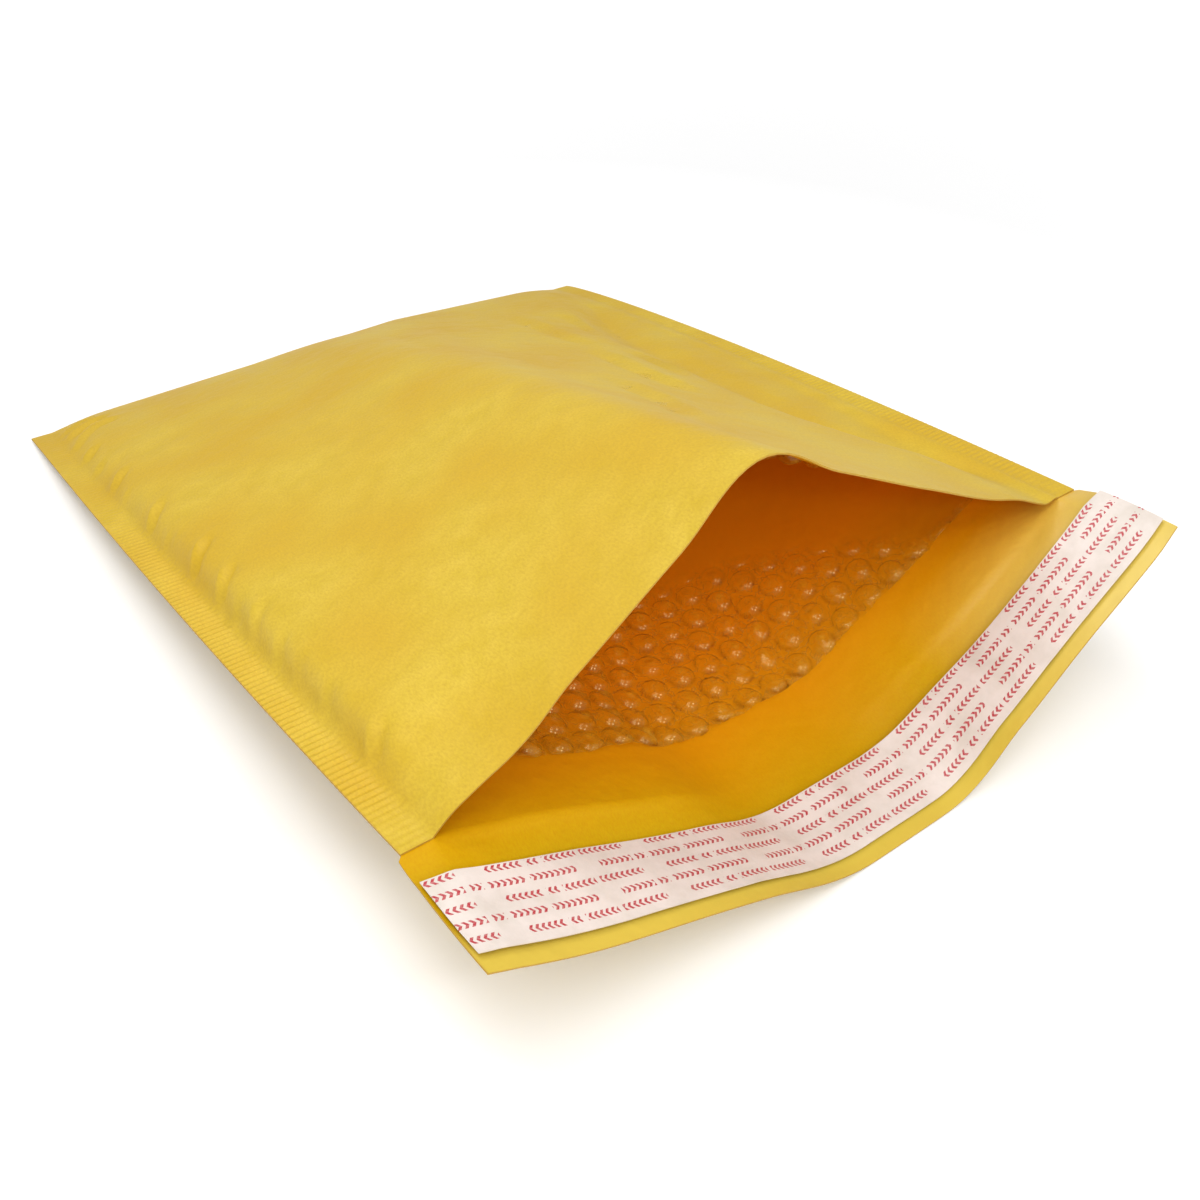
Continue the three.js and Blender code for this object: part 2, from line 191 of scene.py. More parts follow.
def flap_table():
    mouth = between_seals(MOUTH_BOTTOM)(SHARES)
    edge = curve_through(FLAP_EDGE)(SHARES)
    bend = mouth + (edge - mouth) * LINER_FROM_MOUTH / FLAP_LENGTH + curve_through(FLAP_BEND)(SHARES)
    hinge = BACK_TABLE[-1] - np.array([0, 0, PAPER])
    liner_line = flap_line(bend, hinge, LINER_FROM_MOUTH)
    rows = []
    for beyond in BEYOND:
        if beyond < LINER_FROM_MOUTH:
            start, end, step, part = hinge, bend, beyond, beyond / LINER_FROM_MOUTH
        else:
            start, end, step = liner_line, edge, beyond - LINER_FROM_MOUTH
            part = step / (FLAP_LENGTH - LINER_FROM_MOUTH)
        rows.append(flap_line(start[:, 2] + (end - start[:, 2]) * part, start, step))
    return np.stack(rows) + np.array([0, 0, PAPER])


FLAP_TABLE = flap_table()
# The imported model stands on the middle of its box, so the fold line lies this far back
FOLD_LINE = CAD_HIGH.y / MM - (LINING_ROOM + FOLD_PEAK_HEIGHT) / 2 - PAPER


def read_table(table, share, along):
    """Points of a table at any share and distance."""
    column = np.interp(share, SHARES, np.arange(len(SHARES)))
    row = np.clip(along, 0, len(table) - 1)
    c = np.minimum(column.astype(int), len(SHARES) - 2)
    r = np.minimum(row.astype(int), len(table) - 2)
    s, t = (column - c)[:, None], (row - r)[:, None]
    near = table[r, c] * (1 - s) + table[r, c + 1] * s
    far = table[r + 1, c] * (1 - s) + table[r + 1, c + 1] * s
    return near * (1 - t) + far * t


def along_of(run):
    """Distance from the fold on the panels, once the rounded fold has taken its own length."""
    return np.maximum(np.abs(run) - FOLD_HALF, 0) * BODY_LENGTH / (BODY_LENGTH - FOLD_HALF)


def soft_noise(x, y, scale, seed, depth=2):
    """Smooth noise of about -1 to 1 over the flat web, with features this many millimetres wide."""
    out = np.empty(len(x))
    for i, (a, b) in enumerate(zip(x, y)):
        out[i] = noise.fractal(Vector((a / scale, b / scale, seed)), 1.0, 2.0, depth)
    return out


def bare_surface(share, run):
    """Inner face of the web without its relief: front panel at run < 0, then back panel and flap."""
    along = along_of(run)
    front, back = read_table(FRONT_TABLE, share, along), read_table(BACK_TABLE, share, along)
    point = np.where((run < 0)[:, None], front, back)
    flap = run > BODY_LENGTH
    if flap.any():
        point[flap] = read_table(FLAP_TABLE, share[flap], run[flap] - BODY_LENGTH)
    return point


def web_surface(share, run, lift):
    """Inner face of the web with a vertical lift, and its outward normal."""
    point = bare_surface(share, run)
    step = 0.75
    left, right = np.maximum(share - step / BAG_WIDTH, 0), np.minimum(share + step / BAG_WIDTH, 1)
    across = bare_surface(right, run) - bare_surface(left, run)
    side = np.where(run < 0, -1.0, 1.0)
    inner = np.maximum(np.abs(run) - step, FOLD_HALF)
    outer = np.minimum(np.abs(run) + step, BODY_LENGTH + FLAP_LENGTH)
    inner = np.where(np.abs(run) > BODY_LENGTH, np.maximum(inner, BODY_LENGTH + 0.01), inner)
    outer = np.where(np.abs(run) <= BODY_LENGTH, np.minimum(outer, BODY_LENGTH), outer)
    outer = np.maximum(outer, inner + 0.2)
    forward = bare_surface(share, side * outer) - bare_surface(share, side * inner)
    normal = np.cross(forward, across)
    normal /= np.maximum(np.linalg.norm(normal, axis=1, keepdims=True), 1e-9)
    normal[normal[:, 2] < 0] *= -1
    normal *= -side[:, None]
    point[:, 2] += lift
    fold = np.abs(run) < FOLD_HALF
    if fold.any():
        flat = np.zeros(fold.sum())
        top = read_table(FRONT_TABLE, share[fold], flat)
        bottom = read_table(BACK_TABLE, share[fold], flat)
        angle = -run[fold] / FOLD_HALF * math.pi / 2
        ray = np.stack([np.zeros_like(angle), np.cos(angle), np.sin(angle)], axis=-1)
        half = np.maximum((top[:, 2:] - bottom[:, 2:]) / 2, 0.04)
        point[fold] = (top + bottom) / 2 + ray * half
        normal[fold] = ray
    return point, normal


# Relief of the paper: places are millimetres across the web and from the fold

RIB_PITCH = 2.45
RIB_HEIGHT = 0.36
LAYER_GAP = 0.03
MARGIN_CREASE = [(283, 5), (268, 63), (253, 107), (248, 140), (246, 199), (246, 230), (250, 252),
                 (262, 277), (271, 292), (274, 313), (277, 335)]
MARGIN_DIP = 6.5
MARGIN_FALL = 24
CREST = [(173, 2), (153, 111), (139, 201), (132, 255), (134, 290), (137, 335)]
CREST_HEIGHT, CREST_WIDTH = 0.7, 16
# Wrinkles: their line, height and width, and by how much all the heights are raised
WRINKLE_DEPTH = 1.4
SLOPE_WRINKLES = [([(228, 132), (225, 170), (222, 205)], 1.2, 3.5),
                  ([(208, 140), (203, 187), (203, 230)], 1.1, 4.0),
                  ([(180, 195), (174, 237), (162, 276)], 1.1, 4.5),
                  ([(240, 70), (233, 104), (229, 128)], 0.9, 3.5),
                  ([(152, 60), (146, 105), (140, 150)], 0.5, 5.0),
                  ([(216, 60), (212, 100), (210, 150)], 0.8, 4.0)]
CORNER_WRINKLES = [([(12, 31), (20, 24), (34, 19)], 0.9, 2.2), ([(13, 42), (24, 32), (38, 30)], 0.7, 2.4),
                   ([(11, 22), (18, 17), (30, 13)], 0.6, 2.0)]
# Puckers beside the left seal: distance from the fold, length and height
PUCKERS = [(44, 7, 0.5), (60, 9, 0.7), (76, 6, 0.4), (98, 11, 0.8), (112, 7, 0.4), (141, 12, 0.8),
           (158, 7, 0.4), (184, 14, 1.0), (206, 13, 1.0), (219, 7, 0.5), (232, 11, 0.8), (249, 9, 0.7),
           (262, 7, 0.4), (279, 8, 0.5), (305, 10, 1.1)]
PUCKER_FOOT = 10.5
PUCKER_LEAN = -0.75
PUCKER_DEPTH, PUCKER_WIDTH = 1.5, 1.8
SEAM_DEPTH, SEAM_WIDTH, SEAM_INSET = 0.5, 1.8, 1.5
SHOULDER = 3.4


def rib_strength(share, run):
    """How deep the crimp of the side seals is here: strong towards the mouth, faint at the fold."""
    along = np.abs(run)
    edge = np.minimum(share, 1 - share) * BAG_WIDTH
    band = smooth((SEAL_WIDTH + 1.0 - edge) / 1.5) * smooth((edge + 0.8) / 2.4)
    left = smooth((along - 85) / 110) * (1 - 0.8 * smooth((along - 308) / 16))
    right = 0.35 * smooth((along - 40) / 200) * (1 - 0.8 * smooth((along - 308) / 16))
    return band * np.where(share < 0.5, 0.12 + 0.88 * left, 0.12 + right)


def paper_lift(share, run):
    """Vertical relief that both layers share: the crimp of the sealed sides."""
    wave = np.cos(2 * math.pi * np.abs(run) / RIB_PITCH)
    ribs = RIB_HEIGHT * wave * (1.4 - 0.4 * wave * wave) * rib_strength(share, run)
    body = np.abs(run) <= BODY_LENGTH
    return np.where(body, ribs, 0.0) + np.where((run < 0), LAYER_GAP, 0.0)


def along_line(x, v, line):
    """Signed distance from a line on the flat web, and how far along the line, from 0 to 1."""
    line = np.array(line, float)
    spans = np.diff(line, axis=0)
    lengths = np.linalg.norm(spans, axis=1)
    total, before = lengths.sum(), np.concatenate([[0], np.cumsum(lengths)])
    nearest, side, share = np.full(len(x), 1e9), np.ones(len(x)), np.zeros(len(x))
    for k, (start, span, length) in enumerate(zip(line, spans, lengths)):
        dx, dv = x - start[0], v - start[1]
        part = np.clip((dx * span[0] + dv * span[1]) / length ** 2, 0, 1)
        distance = np.hypot(dx - part * span[0], dv - part * span[1])
        closer = distance < nearest
        nearest = np.where(closer, distance, nearest)
        side = np.where(closer, np.sign(dx * span[1] - dv * span[0]), side)
        share = np.where(closer, (before[k] + part * length) / total, share)
    return nearest * side, share


def wrinkle(x, v, line, height, width):
    """A soft crease with a low ridge beside it, fading out at both ends of its line."""
    distance, share = along_line(x, v, line)
    ends = smooth(share / 0.3) * smooth((1 - share) / 0.3)
    valley = np.exp(-(distance / width) ** 2)
    ridge = np.exp(-((distance - 1.5 * width) / width) ** 2)
    return height * ends * (0.8 * ridge - valley)


def margin_dip(x, v):
    """The right margin lies flat up to a soft crease, inside which the panel swells."""
    across, along = np.array(MARGIN_CREASE, float).T
    crease = np.interp(v, along, across)
    outside = np.clip((BAG_WIDTH - SEAL_WIDTH - x) / np.maximum(BAG_WIDTH - SEAL_WIDTH - crease, 1), 0, 1)
    inside = 1 - smooth((crease - x) / MARGIN_FALL)
    fade = smooth((v - 20) / 80) * (1 - smooth((v - 262) / 70))
    return -MARGIN_DIP * fade * np.where(x > crease, outside, inside)


def puckers(share, run, seed):
    """Small uneven gathers that run in from the side seals."""
    edge = np.minimum(share, 1 - share) * BAG_WIDTH - SEAL_WIDTH
    near = smooth(edge / 3) * (1 - smooth((edge - 4) / 14))
    wave = soft_noise(np.abs(run) + 0.75 * edge * np.where(share < 0.5, 1, -1), edge * 0.35, 8.0, seed, 2)
    return near * wave


def front_relief(share, run):
    x, v = share * BAG_WIDTH, np.abs(run)
    quiet = smooth((BODY_LENGTH - v) / 30) * 0.6 + 0.4
    relief = 0.4 * soft_noise(x, v, 60, 3.1, 2) * quiet + 0.32 * puckers(share, run, 8.4)
    relief += margin_dip(x, v)
    crest, _ = along_line(x, v, CREST)
    relief += CREST_HEIGHT * np.exp(-(crest / CREST_WIDTH) ** 2) * smooth(v / 60)
    for line, height, width in SLOPE_WRINKLES + CORNER_WRINKLES:
        relief += wrinkle(x, v, line, WRINKLE_DEPTH * height, width)
    for start, length, height in PUCKERS:
        line = [(PUCKER_FOOT, start), (PUCKER_FOOT + length, start + PUCKER_LEAN * length)]
        relief += wrinkle(x, v, line, PUCKER_DEPTH * height, PUCKER_WIDTH)
    seam = np.exp(-((x - SEAL_WIDTH - SEAM_INSET) / SEAM_WIDTH) ** 2)
    relief -= SEAM_DEPTH * seam * smooth((v - 60) / 50) * smooth((318 - v) / 20)
    shoulder = smooth((x - PUCKER_FOOT) / 8) * (1 - smooth((x - 22) / 45))
    relief += SHOULDER * shoulder * smooth((v - 60) / 170) * smooth((322 - v) / 30)
    relief *= smooth((x - SEAL_WIDTH + 0.5) / 3) * smooth((BAG_WIDTH - SEAL_WIDTH - x) / 3)
    return relief * smooth((v - 1) / 8)


def back_relief(share, run):
    x, v = share * BAG_WIDTH, np.abs(run)
    relief = 0.25 * soft_noise(x, v, 45, 6.7, 2)
    relief += 0.35 * puckers(share, run, 2.9) * (v < BODY_LENGTH)
    relief *= smooth((x - SEAL_WIDTH) / 4) * smooth((BAG_WIDTH - SEAL_WIDTH - x) / 4)
    return relief * smooth((v - 1) / 8)


def paper_relief(share, run):
    """Relief along the outward normal of the paper, shared by the lining inside it."""
    relief = np.zeros(len(share))
    front = run < -FOLD_HALF
    back = (run > FOLD_HALF) & (run <= BODY_LENGTH + FLAP_LENGTH)
    relief[front] = front_relief(share[front], run[front])
    relief[back] = back_relief(share[back], run[back])
    rest_height = bare_surface(share, run)[:, 2] - PAPER
    flat = smooth(rest_height / 6)
    relief[back] = np.minimum(relief[back], flat[back] * 0.5)
    return relief


def place(share, run, out):
    """Places web points: out is the distance outwards from the paper's inner face. Metres."""
    point, normal = web_surface(share, run, paper_lift(share, run))
    made = point + normal * (out + paper_relief(share, run))[:, None]
    made[:, 1] += FOLD_LINE
    return made * MM


def get_points(bm):
    return np.array([v.co[:] for v in bm.verts])


def set_points(bm, points):
    for vertex, point in zip(bm.verts, points):
        vertex.co = point


def flat_uv(bm, flat):
    """Flat web coordinates, in metres, as the UV map."""
    layer = bm.loops.layers.uv.new("web")
    for face in bm.faces:
        for loop in face.loops:
            loop[layer].uv = flat[loop.vert.index][:2] * MM


def finish_piece(bm, name, materials, nodes=(), sharp=math.radians(50)):
    """Makes a smooth-shaded object that rides on the root, with its hard corners kept."""
    for edge in bm.edges:
        edge.smooth = not edge.is_manifold or edge.calc_face_angle(0.0) < sharp
    for face in bm.faces:
        face.smooth = True
    mesh = bpy.data.meshes.new(name)
    bm.to_mesh(mesh)
    bm.free()
    for material in materials:
        mesh.materials.append(material)
    piece = bpy.data.objects.new(name, mesh)
    bpy.context.scene.collection.objects.link(piece)
    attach(piece, "root")
    if nodes:
        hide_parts(*nodes)
    return piece


def slab(columns, rows):
    """A flat sheet with two faces: columns and rows in millimetres, z 0 inside and 1 outside."""
    bm = bmesh.new()
    across, up = len(columns) - 1, len(rows) - 1
    bmesh.ops.create_grid(bm, x_segments=across, y_segments=up, size=1.0)
    points = get_points(bm)
    flat = np.zeros_like(points)
    flat[:, 0] = np.interp(points[:, 0], np.linspace(-1, 1, across + 1), columns)
    flat[:, 1] = np.interp(points[:, 1], np.linspace(-1, 1, up + 1), rows)
    set_points(bm, flat)
    return bm


def thicken(bm):
    """Gives a flat sheet its second face and its cut edges; the second face lies at z 1."""
    made = bmesh.ops.extrude_face_region(bm, geom=bm.faces[:], use_keep_orig=True)
    raised = [g for g in made["geom"] if isinstance(g, bmesh.types.BMVert)]
    bmesh.ops.translate(bm, verts=raised, vec=(0, 0, 1))
    bmesh.ops.recalc_face_normals(bm, faces=bm.faces[:])
    bm.verts.index_update()


class Wire:
    """A shader socket that adds Math nodes when it is used in an expression."""

    def __init__(self, look, socket):
        self.look, self.socket = look, socket

    def math(self, operation, *others):
        return self.look.add("ShaderNodeMath", {"operation": operation}, [self, *others])

    def __add__(self, other):
        return self.math("ADD", other)

    def __sub__(self, other):
        return self.math("SUBTRACT", other)

    def __rsub__(self, other):
        return self.look.add("ShaderNodeMath", {"operation": "SUBTRACT"}, [other, self])

    def __mul__(self, other):
        return self.math("MULTIPLY", other)

    def __truediv__(self, other):
        return self.math("DIVIDE", other)

    __radd__, __rmul__ = __add__, __mul__


class Look:
    """A material: one node at a time, wired up by value or by link."""

    def __init__(self, name):
        self.material = bpy.data.materials.new(name)
        self.material.use_nodes = True
        self.nodes = self.material.node_tree.nodes
        self.links = self.material.node_tree.links
        self.surface = self.nodes["Principled BSDF"]
        self.uv = self.add("ShaderNodeUVMap", {"uv_map": "web"}, [], "UV")
        self.place = self.add("ShaderNodeTexCoord", {}, [], "Object")

    def add(self, kind, settings, inputs, output=0):
        node = self.nodes.new(kind)
        for key, value in settings.items():
            if key == "stops":
                ramp = node.color_ramp
                while len(ramp.elements) < len(value):
                    ramp.elements.new(0.5)
                for element, (position, colour) in zip(ramp.elements, value):
                    element.position, element.color = position, colour
            else:
                setattr(node, key, value)
        pairs = inputs.items() if isinstance(inputs, dict) else enumerate(inputs)
        for key, value in pairs:
            self.feed(node.inputs[key], value)
        return Wire(self, node.outputs[output])

    def feed(self, socket, value):
        if isinstance(value, Wire):
            self.links.new(value.socket, socket)
        else:
            socket.default_value = value

    def set(self, **inputs):
        for name, value in inputs.items():
            self.feed(self.surface.inputs[name.replace("_", " ")], value)

    def noise(self, where, scale, detail=2.0, roughness=0.5):
        return self.add("ShaderNodeTexNoise", {}, {"Vector": where, "Scale": scale, "Detail": detail,
                                                  "Roughness": roughness})

    def stretch(self, where, scale):
        return self.add("ShaderNodeMapping", {}, {"Vector": where, "Scale": scale})

    def ramp(self, value, stops):
        stops = [(position, (grey, grey, grey, 1)) for position, grey in stops]
        return self.add("ShaderNodeValToRGB", {"stops": stops}, [value])

    def mix(self, factor, first, second):
        return self.add("ShaderNodeMix", {"data_type": "RGBA"}, {0: factor, 6: first, 7: second}, 2)

    def bump(self, height, strength, distance):
        inputs = {"Height": height, "Strength": strength, "Distance": distance}
        return self.add("ShaderNodeBump", {}, inputs)

    def split(self, where):
        node = self.add("ShaderNodeSeparateXYZ", {}, [where])
        return [Wire(self, output) for output in node.socket.node.outputs]


def colour(red, green, blue):
    """An sRGB colour of 0 to 255 as the linear colour that a socket takes."""
    values = []
    for part in (red / 255, green / 255, blue / 255):
        values.append(part / 12.92 if part <= 0.04045 else ((part + 0.055) / 1.055) ** 2.4)
    return (*values, 1.0)


# Inner face of the kraft: where its painted pocket shade and glow and its painted sheen on the flap begin,
# in millimetres from the fold or across the web
DEEP_FROM, DEEP_OVER = BODY_LENGTH + 12, 70.0
EDGE_SHEEN_FROM, EDGE_SHEEN_OVER = BODY_LENGTH + FLAP_LENGTH - LINER_TO_EDGE - 12, 10.0
GLOSS_AND_SHEEN_ACROSS, GLOSS_AND_SHEEN_ALONG = (205, 50), (318, 20)
POCKET_GLOW = 0.1
BLACK = (0, 0, 0, 1)
WHITE = (1, 1, 1, 1)


def kraft_paper(name, light_tone, main_tone, patch_tone, fibre_tone, inside):
    """Kraft with clouds and fibres. Its inner face has a painted orange shade and a painted glow deep in
    the pocket, a painted sheen towards the flap's edge, and a painted sheen with a real glossy coat towards
    the right end of the mouth and flap.
    """
    look = Look(name)
    fibres = look.noise(look.stretch(look.uv, (1.0, 0.5, 1.0)), 1600.0, 1.0, 0.7)
    cloud = look.noise(look.uv, 110.0, 2.0, 0.62)
    patch = look.noise(look.uv, 22.0, 1.0, 0.55)
    golden = look.mix(look.ramp(cloud, [(0.3, 0), (0.72, 1)]), main_tone, light_tone)
    golden = look.mix(look.ramp(patch, [(0.35, 0), (0.65, 0.85)]), golden, patch_tone)
    golden = look.mix(look.ramp(fibres, [(0.35, 0), (0.75, 0.5)]), golden, fibre_tone)
    if inside:
        depth = look.split(look.uv)[1].math("ABSOLUTE") / MM
        # Painted shade: the inner face turns deep orange further into the pocket, standing in for the shade
        # and the orange light bounced inside it
        deep = (DEEP_FROM - depth) / DEEP_OVER
        golden = look.mix(look.ramp(deep, [(0.0, 0), (1.0, 1)]), golden, colour(236, 146, 6))
        # Painted sheen: the inner face turns lighter towards the flap's edge
        edge = (depth - EDGE_SHEEN_FROM) / EDGE_SHEEN_OVER
        golden = look.mix(look.ramp(edge, [(0.0, 0), (1.0, 0.85)]), golden, colour(208, 182, 74))
        # Painted sheen towards the right end of the mouth and flap: a lighter tone mixed into the colour,
        # where a real glossy coat also lies
        across = look.split(look.uv)[0] / MM
        gloss_and_painted_sheen = look.ramp((across - GLOSS_AND_SHEEN_ACROSS[0]) / GLOSS_AND_SHEEN_ACROSS[1], [(0.0, 0), (1.0, 0.9)])
        gloss_and_painted_sheen = gloss_and_painted_sheen * look.ramp((depth - GLOSS_AND_SHEEN_ALONG[0]) / GLOSS_AND_SHEEN_ALONG[1], [(0.0, 0), (1.0, 1)])
        golden = look.mix(gloss_and_painted_sheen * 0.4, golden, colour(232, 204, 104))
        look.set(Coat_Weight=gloss_and_painted_sheen, Coat_Roughness=0.34)
    look.set(Base_Color=golden, Roughness=look.ramp(cloud, [(0.3, 0.5), (0.7, 0.62)]),
             Specular_IOR_Level=0.12 if inside else 0.35, Normal=look.bump(cloud, 0.55, 0.0009))
    if inside:
        # Painted glow: a faint orange emission deep in the pocket stands in for light coming through the
        # paper
        glow = look.mix(look.ramp(deep, [(0.0, 0), (1.0, 1)]), BLACK, colour(255, 120, 4))
        look.set(Emission_Color=glow, Emission_Strength=POCKET_GLOW)
        look.material.cycles.emission_sampling = "NONE"
    return look.material


def outer_kraft():
    return kraft_paper("golden_kraft_paper", colour(207, 177, 57), colour(197, 167, 37),
                       colour(197, 159, 28), colour(177, 140, 35), False)


def inner_kraft():
    return kraft_paper("inner_kraft_paper", colour(193, 159, 4), colour(189, 153, 3),
                       colour(189, 148, 2), colour(182, 132, 3), True)


def cut_edge():
    look = Look("kraft_cut_edge")
    fleck = look.noise(look.place, 900.0, 2.0)
    look.set(Base_Color=look.mix(fleck, colour(184, 146, 46), colour(168, 126, 32)), Roughness=0.75)
    return look.material


# The whitened band along the lining's hem
HEM_BAND = 5


def clear_film():
    """Clear film: a painted glow brightens each dome's crown and painted shade darkens its foot, and the
    creases catch light.
    """
    look = Look("clear_bubble_film")
    facing = look.add("ShaderNodeLayerWeight", {}, {"Blend": 0.35}, "Facing")
    reach = look.add("ShaderNodeAttribute", {"attribute_name": "from_centre"}, [], "Fac")
    fullness = look.add("ShaderNodeAttribute", {"attribute_name": "fullness"}, [], "Fac")
    uneven = look.ramp(look.noise(look.uv, 170.0, 0.0), [(0.35, 0.25), (0.65, 1)]) * fullness
    # Painted glow: a bright golden tone and more cover at each dome's crown
    crown = look.ramp(reach, [(0.0, 1), (0.2, 0.6), (0.4, 0)]) * uneven
    # Painted shade: a dark brown ring and more cover at each dome's foot
    painted_foot_shade = look.ramp(reach, [(0.5, 0), (0.7, 1), (0.85, 0)]) * uneven
    between = look.ramp(reach, [(0.4, 0), (0.8, 1)]) * fullness
    crinkle = look.noise(look.uv, 260.0, 1.0, 0.6)
    crease = look.ramp(crinkle, [(0.47, 0), (0.5, 1), (0.53, 0)]) * between
    edge = look.split(look.uv)[1].math("ABSOLUTE") / MM - (BODY_LENGTH - LINING_SETBACK - HEM_BAND)
    hem = look.ramp(edge / HEM_BAND, [(0.0, 0), (1.0, 1)]) * look.ramp(crinkle, [(0.4, 0), (0.6, 1)])
    tone = look.mix(crown, colour(226, 176, 60), colour(228, 168, 26))
    tone = look.mix(painted_foot_shade, tone, colour(112, 48, 2))
    cover = look.ramp(facing, [(0.0, 0.01), (0.6, 0.03), (1.0, 0.2)])
    cover = cover + crown * 0.36 + painted_foot_shade * 0.2 + crease * 0.24 + hem * 0.24
    look.set(Base_Color=tone, Roughness=0.3, Specular_IOR_Level=0.2, Alpha=cover,
             Normal=look.bump(crinkle, 1.0, 0.0028))
    shine = look.add("ShaderNodeBsdfAnisotropic", {}, {"Color": (1, 0.86, 0.42, 1), "Roughness": 0.18})
    solid = Wire(look, look.surface.outputs[0])
    gloss = look.ramp(facing, [(0.0, 0.04), (0.6, 0.05), (1.0, 0.14)])
    look.feed(look.nodes["Material Output"].inputs["Surface"],
              look.add("ShaderNodeMixShader", {}, [gloss, solid, shine]))
    look.material.blend_method = "HASHED"
    return look.material


# Print on the liner: rows of small arrows in groups, every other row the other way round
PRINT_ROW = 5.2
PRINT_FIRST = 1.5
PRINT_HALF = 1.1
PRINT_PERIOD = 54.7
PRINT_START = 17.1
PRINT_STEP = 1.9
PRINT_STAGGER = 20.0
PRINT_SLANT = 0.8
PRINT_GROUPS = [(0.0, 11.4), (13.0, 16.6), (18.4, 29.4), (31.0, 46.2)]


def liner_paper():
    look = Look("release_liner_paper")
    across, along, _ = look.split(look.uv)
    row = (along / MM - (BODY_LENGTH + LINER_FROM_MOUTH + PRINT_FIRST)) / PRINT_ROW + 0.5
    number = row.math("FLOOR")
    height = (row.math("FRACT") - 0.5) * PRINT_ROW
    odd = (number * 0.5).math("FRACT") * 2.0
    shift = across / MM - PRINT_START + odd * PRINT_STAGGER
    along_print = (shift / PRINT_PERIOD).math("FRACT") * PRINT_PERIOD
    printed = None
    for first, last in PRINT_GROUPS:
        inside = along_print.math("GREATER_THAN", first) * along_print.math("LESS_THAN", last)
        printed = inside if printed is None else printed + inside
    direction = 1.0 - odd * 2.0
    slant = (along_print - direction * height.math("ABSOLUTE") * PRINT_SLANT) / PRINT_STEP
    bar = slant.math("FRACT").math("LESS_THAN", 0.5)
    mark = bar * printed * height.math("ABSOLUTE").math("LESS_THAN", PRINT_HALF)
    stain = look.ramp(look.noise(look.uv, 70.0, 4.0, 0.65), [(0.4, 0), (0.7, 0.8)])
    ivory = look.mix(stain, colour(223, 212, 204), colour(204, 194, 182))
    worn = look.ramp(look.noise(look.uv, 1500.0, 2.0), [(0.3, 0.7), (0.6, 1.0)])
    look.set(Base_Color=look.mix(mark * worn, ivory, colour(178, 48, 60)), Roughness=0.42,
             Normal=look.bump(look.noise(look.uv, 160.0, 3.0, 0.6), 0.3, 0.0006))
    return look.material


def adhesive():
    look = Look("hot_melt_adhesive")
    streak = look.noise(look.stretch(look.uv, (0.3, 1.0, 1.0)), 500.0, 2.0)
    look.set(Base_Color=look.mix(streak, colour(236, 224, 186), colour(222, 204, 158)), Roughness=0.3,
             Normal=look.bump(streak, 0.3, 0.0004))
    return look.material


def spaced(stops):
    """Stations from (end, step) pairs, each stretch cut into equal steps."""
    made = [stops[0][0]]
    for end, step in stops[1:]:
        count = max(1, round((end - made[-1]) / step))
        made += list(np.linspace(made[-1], end, count + 1)[1:])
    return made


def make_envelope():
    """The one kraft web: front panel, fold, back panel and flap."""
    columns = spaced([(0, 0), (SEAL_WIDTH, 3.0), (40, 1.75), (BAG_WIDTH - 40, 3.5),
                      (BAG_WIDTH - SEAL_WIDTH, 1.75), (BAG_WIDTH, 3.0)])
    rows = spaced([(-BODY_LENGTH, 0), (-5, 2.0), (-FOLD_HALF, 1.1), (FOLD_HALF, 0.8), (5, 1.1),
                   (BODY_LENGTH, 2.0), (BODY_LENGTH + LINER_FROM_MOUTH, 2.0),
                   (BODY_LENGTH + FLAP_LENGTH, 2.2)])
    bm = slab(columns, rows)
    crimped = []
    for edge in bm.edges:
        start, end = edge.verts[0].co, edge.verts[1].co
        in_seal = start.x < SEAL_WIDTH + 0.01 or start.x > BAG_WIDTH - SEAL_WIDTH - 0.01
        if abs(start.x - end.x) < 1e-4 and in_seal and 5 < abs(start.y + end.y) / 2 < BODY_LENGTH:
            crimped.append(edge)
    bmesh.ops.subdivide_edges(bm, edges=crimped, cuts=3)
    thicken(bm)
    flat = get_points(bm)
    flat_uv(bm, flat)
    set_points(bm, place(flat[:, 0] / BAG_WIDTH, flat[:, 1], flat[:, 2] * PAPER))
    for face in bm.faces:
        levels = {int(round(flat[v.index][2])) for v in face.verts}
        face.material_index = 2 if len(levels) == 2 else 1 - levels.pop()
    finishes = [outer_kraft(), inner_kraft(), cut_edge()]
    return finish_piece(bm, "kraft_envelope_paper", finishes, ["kraft_envelope"])


# Bubble lining: a honeycomb of cells, each with a dome of air
BUBBLE_PITCH = 12.0
BUBBLE_RADIUS = 5.0
BUBBLE_HEIGHT = 4.0
BUBBLE_ROW = BUBBLE_PITCH * math.sqrt(3) / 2
BUBBLE_CORNER = BUBBLE_PITCH / math.sqrt(3)
FILM = 0.15
HEM = 4.6
HEM_CURL = 1.6
# On the back panel the bubbles stand full only this far from the fold: (mm across, mm from the fold)
FULL_FROM = [(20, 215), (100, 225), (187, 243), (211, 262), (232, 284), (246, 306), (275, 322)]
DOME_RINGS = [(1.0, 0.0), (0.9, 0.38), (0.62, 0.74), (0.3, 0.94)]


